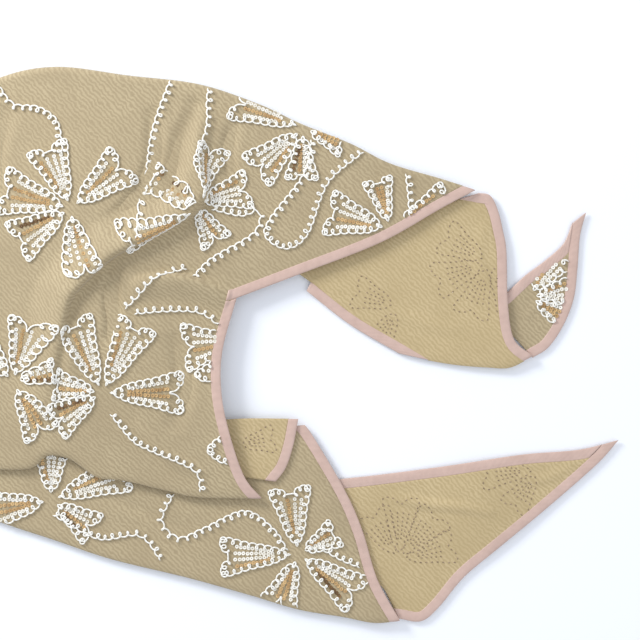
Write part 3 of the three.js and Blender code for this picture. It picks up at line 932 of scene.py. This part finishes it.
def make_bindings() -> dict:
    """The runs of tape, by the stretch that each is sewn to."""
    line = smooth
    return {
        "body": [
            Binding("binding_body_upper", FRONT, UPPER_EDGE, edge_of(TOP_FOLD), seam_of(LOWER_EDGE)),
            Binding("binding_body_lower", FRONT, LOWER_EDGE, inward(smooth(UPPER_EDGE), -0.1),
                    edge_of(LOWER_FOLD)),
            Binding("binding_apex_upper", FRONT, APEX_UPPER, edge_of(APEX_LOWER), edge_of(TOP_FOLD)),
            Binding("binding_apex_lower", FRONT, APEX_LOWER, edge_of(LOWER_FOLD),
                    seam_of(APEX_UPPER))],
        "turn": [Binding("binding_turn", TURN, TURN_EDGE, edge_of(TURN_FOLD),
                         line([(52, -109), (20, -105)]))],
        "lower": [Binding("binding_lower_front", LOWER, LOWER_FRONT_EDGE,
                          line([(40, -67), (90, -63)]), edge_of(LOWER_FRONT_FOLD))],
        "lower_tail": [
            Binding("binding_lower_tail_leg", LOWER_TAIL, LOWER_TAIL_LEG,
                    line([(112, -165), (92, -100)]), seam_of(LOWER_TAIL_LONG)),
            Binding("binding_lower_tail_long", LOWER_TAIL, LOWER_TAIL_LONG,
                    edge_of(LOWER_TAIL_LEG), line([(154, -228), (139, -196)]))],
        "upper_tail": [
            Binding("binding_upper_tail_long", UPPER_TAIL, UPPER_TAIL_EDGE,
                    line([(135, 96), (214, 121)]), edge_of(UPPER_TAIL_FOLD)),
            Binding("binding_upper_tail_leg", UPPER_TAIL, UPPER_TAIL_LEG,
                    edge_of(UPPER_TAIL_FOLD), line([(70, 30), (90, 70)]))],
        "tip": [
            Binding("binding_tip_leg", TIP, TIP_LEG, line([(230, 18), (222, 46)]), seam_of(TIP_LONG)),
            Binding("binding_tip_long", TIP, TIP_LONG, edge_of(TIP_LEG),
                    line([(262, -16), (244, 4)]))],
    }


SHEET_FACTS = {
    "body": ((0.56, 0.345), ["hidden_layers"]),
    "turn": ((0.085, 0.052), ["lower_front_cloth"]),
    "lower": ((0.37, 0.16), ["hidden_layers"]),
    "lower_tail": ((0.24, 0.14), ["table"]),
    "upper_tail": ((0.19, 0.14), ["table"]),
    "tip": ((0.06, 0.10), ["table"]),
}


class Studio:
    """A pale table, soft light from above and an overhead camera."""
    FRAME_MM = 512.0
    CENTRE = (87.2, 19.6)
    HEIGHT = 1.5

    def build_table(self) -> bpy.types.Object:
        """A broad white sheet of card under the scarf."""
        bpy.ops.mesh.primitive_plane_add(size=8, location=(0, 0, -0.0003))
        table = bpy.context.object
        table.name = "table"
        made = bpy.data.materials.new("white_card")
        made.use_nodes = True
        shader = made.node_tree.nodes["Principled BSDF"]
        shader.inputs["Base Color"].default_value = linear("F1F4F9")
        shader.inputs["Roughness"].default_value = 0.9
        table.data.materials.append(made)
        return table

    def build_light(self) -> None:
        """A window-like area light from the upper left, and a pale surround."""
        for name, at, size, power in (("window", (-1.1, 1.0, 0.75), 0.5, 23.0),
                                      ("fill", (0.9, -0.3, 1.6), 1.6, 6.0)):
            data = bpy.data.lights.new(name, "AREA")
            data.size, data.energy = size, power
            lamp = bpy.data.objects.new(name, data)
            lamp.location = at
            aim = np.array(at) * -1
            lamp.rotation_euler = mathutils.Vector(aim.tolist()).to_track_quat("-Z", "Y").to_euler()
            bpy.context.collection.objects.link(lamp)
        world = bpy.data.worlds.new("surround")
        world.use_nodes = True
        world.node_tree.nodes["Background"].inputs[0].default_value = linear("EEF2FA")
        world.node_tree.nodes["Background"].inputs[1].default_value = 0.84
        bpy.context.scene.world = world
        bpy.context.scene.view_settings.view_transform = "Standard"

    def build_camera(self) -> None:
        """Straight down, at a lens length that frames FRAME_MM of the table."""
        data = bpy.data.cameras.new("camera")
        data.sensor_width = 36
        data.lens = 36 * self.HEIGHT / (self.FRAME_MM * MM)
        camera = bpy.data.objects.new("camera", data)
        camera.location = (self.CENTRE[0] * MM, self.CENTRE[1] * MM, self.HEIGHT)
        bpy.context.collection.objects.link(camera)
        bpy.context.scene.camera = camera


def main() -> None:
    """Build the stage, then each stretch with its tape, cords and sequins."""
    studio = Studio()
    studio.build_table()
    studio.build_light()
    studio.build_camera()
    crepe = {"crepe_front": Crepe("crepe_front_finish", "BFAF8C", "9C8B6C").material(),
             "crepe_reverse": Crepe("crepe_reverse_finish", "CCB88F", "AE9A70").material()}
    satin = Satin("satin_binding_finish", "D2B5A8", "B89C8F").material()
    cord = Thread("white_cord_finish", "FBFAF5", "E2DED2").material()
    ghost = Thread("stitch_back_finish", "A8927A", "7F6C58").material()
    foils = [Foil("pearl_sequin", "FFFDF6", "DDD6C4", 0.15, 0.18).material(),
             Foil("amber_sequin", "DDBB85", "A98354", 0.35, 0.3).material(),
             Foil("bronze_sequin", "94724A", "5A4028", 0.5, 0.3).material()]
    panels, bindings = make_panels(), make_bindings()
    added = {key: [] for key in panels}
    for key, panel in panels.items():
        panel.build(crepe[panel.slot])
        for binding in bindings[key]:
            added[key].append(binding.build(satin))
    for key, flowers, vines in (("body", FLOWERS_BODY, VINES_BODY),
                                ("lower", FLOWERS_LOWER, VINES_LOWER), ("tip", FLOWERS_TIP, [])):
        work = Embroidery("embroidery_" + key, panels[key], flowers, vines)
        added[key].append(work.build_cord(cord))
        added[key] += work.build_sequins(foils)
    for key, ghosts in (("upper_tail", "upper"), ("lower_tail", "lower"), ("turn", "turn")):
        made = StitchGhosts("reverse_" + ghosts, panels[key], GHOSTS[ghosts])
        added[key].append(made.build(ghost))
    for key, (flat, rests) in SHEET_FACTS.items():
        area = min(panels[key].area(), flat[0] * flat[1])
    core = bpy.data.objects["hidden_layers"]
    core.data.materials.clear()
    core.data.materials.append(crepe["crepe_front"])


if __name__ == "__main__":
    logging.basicConfig(level=logging.INFO)
    main()
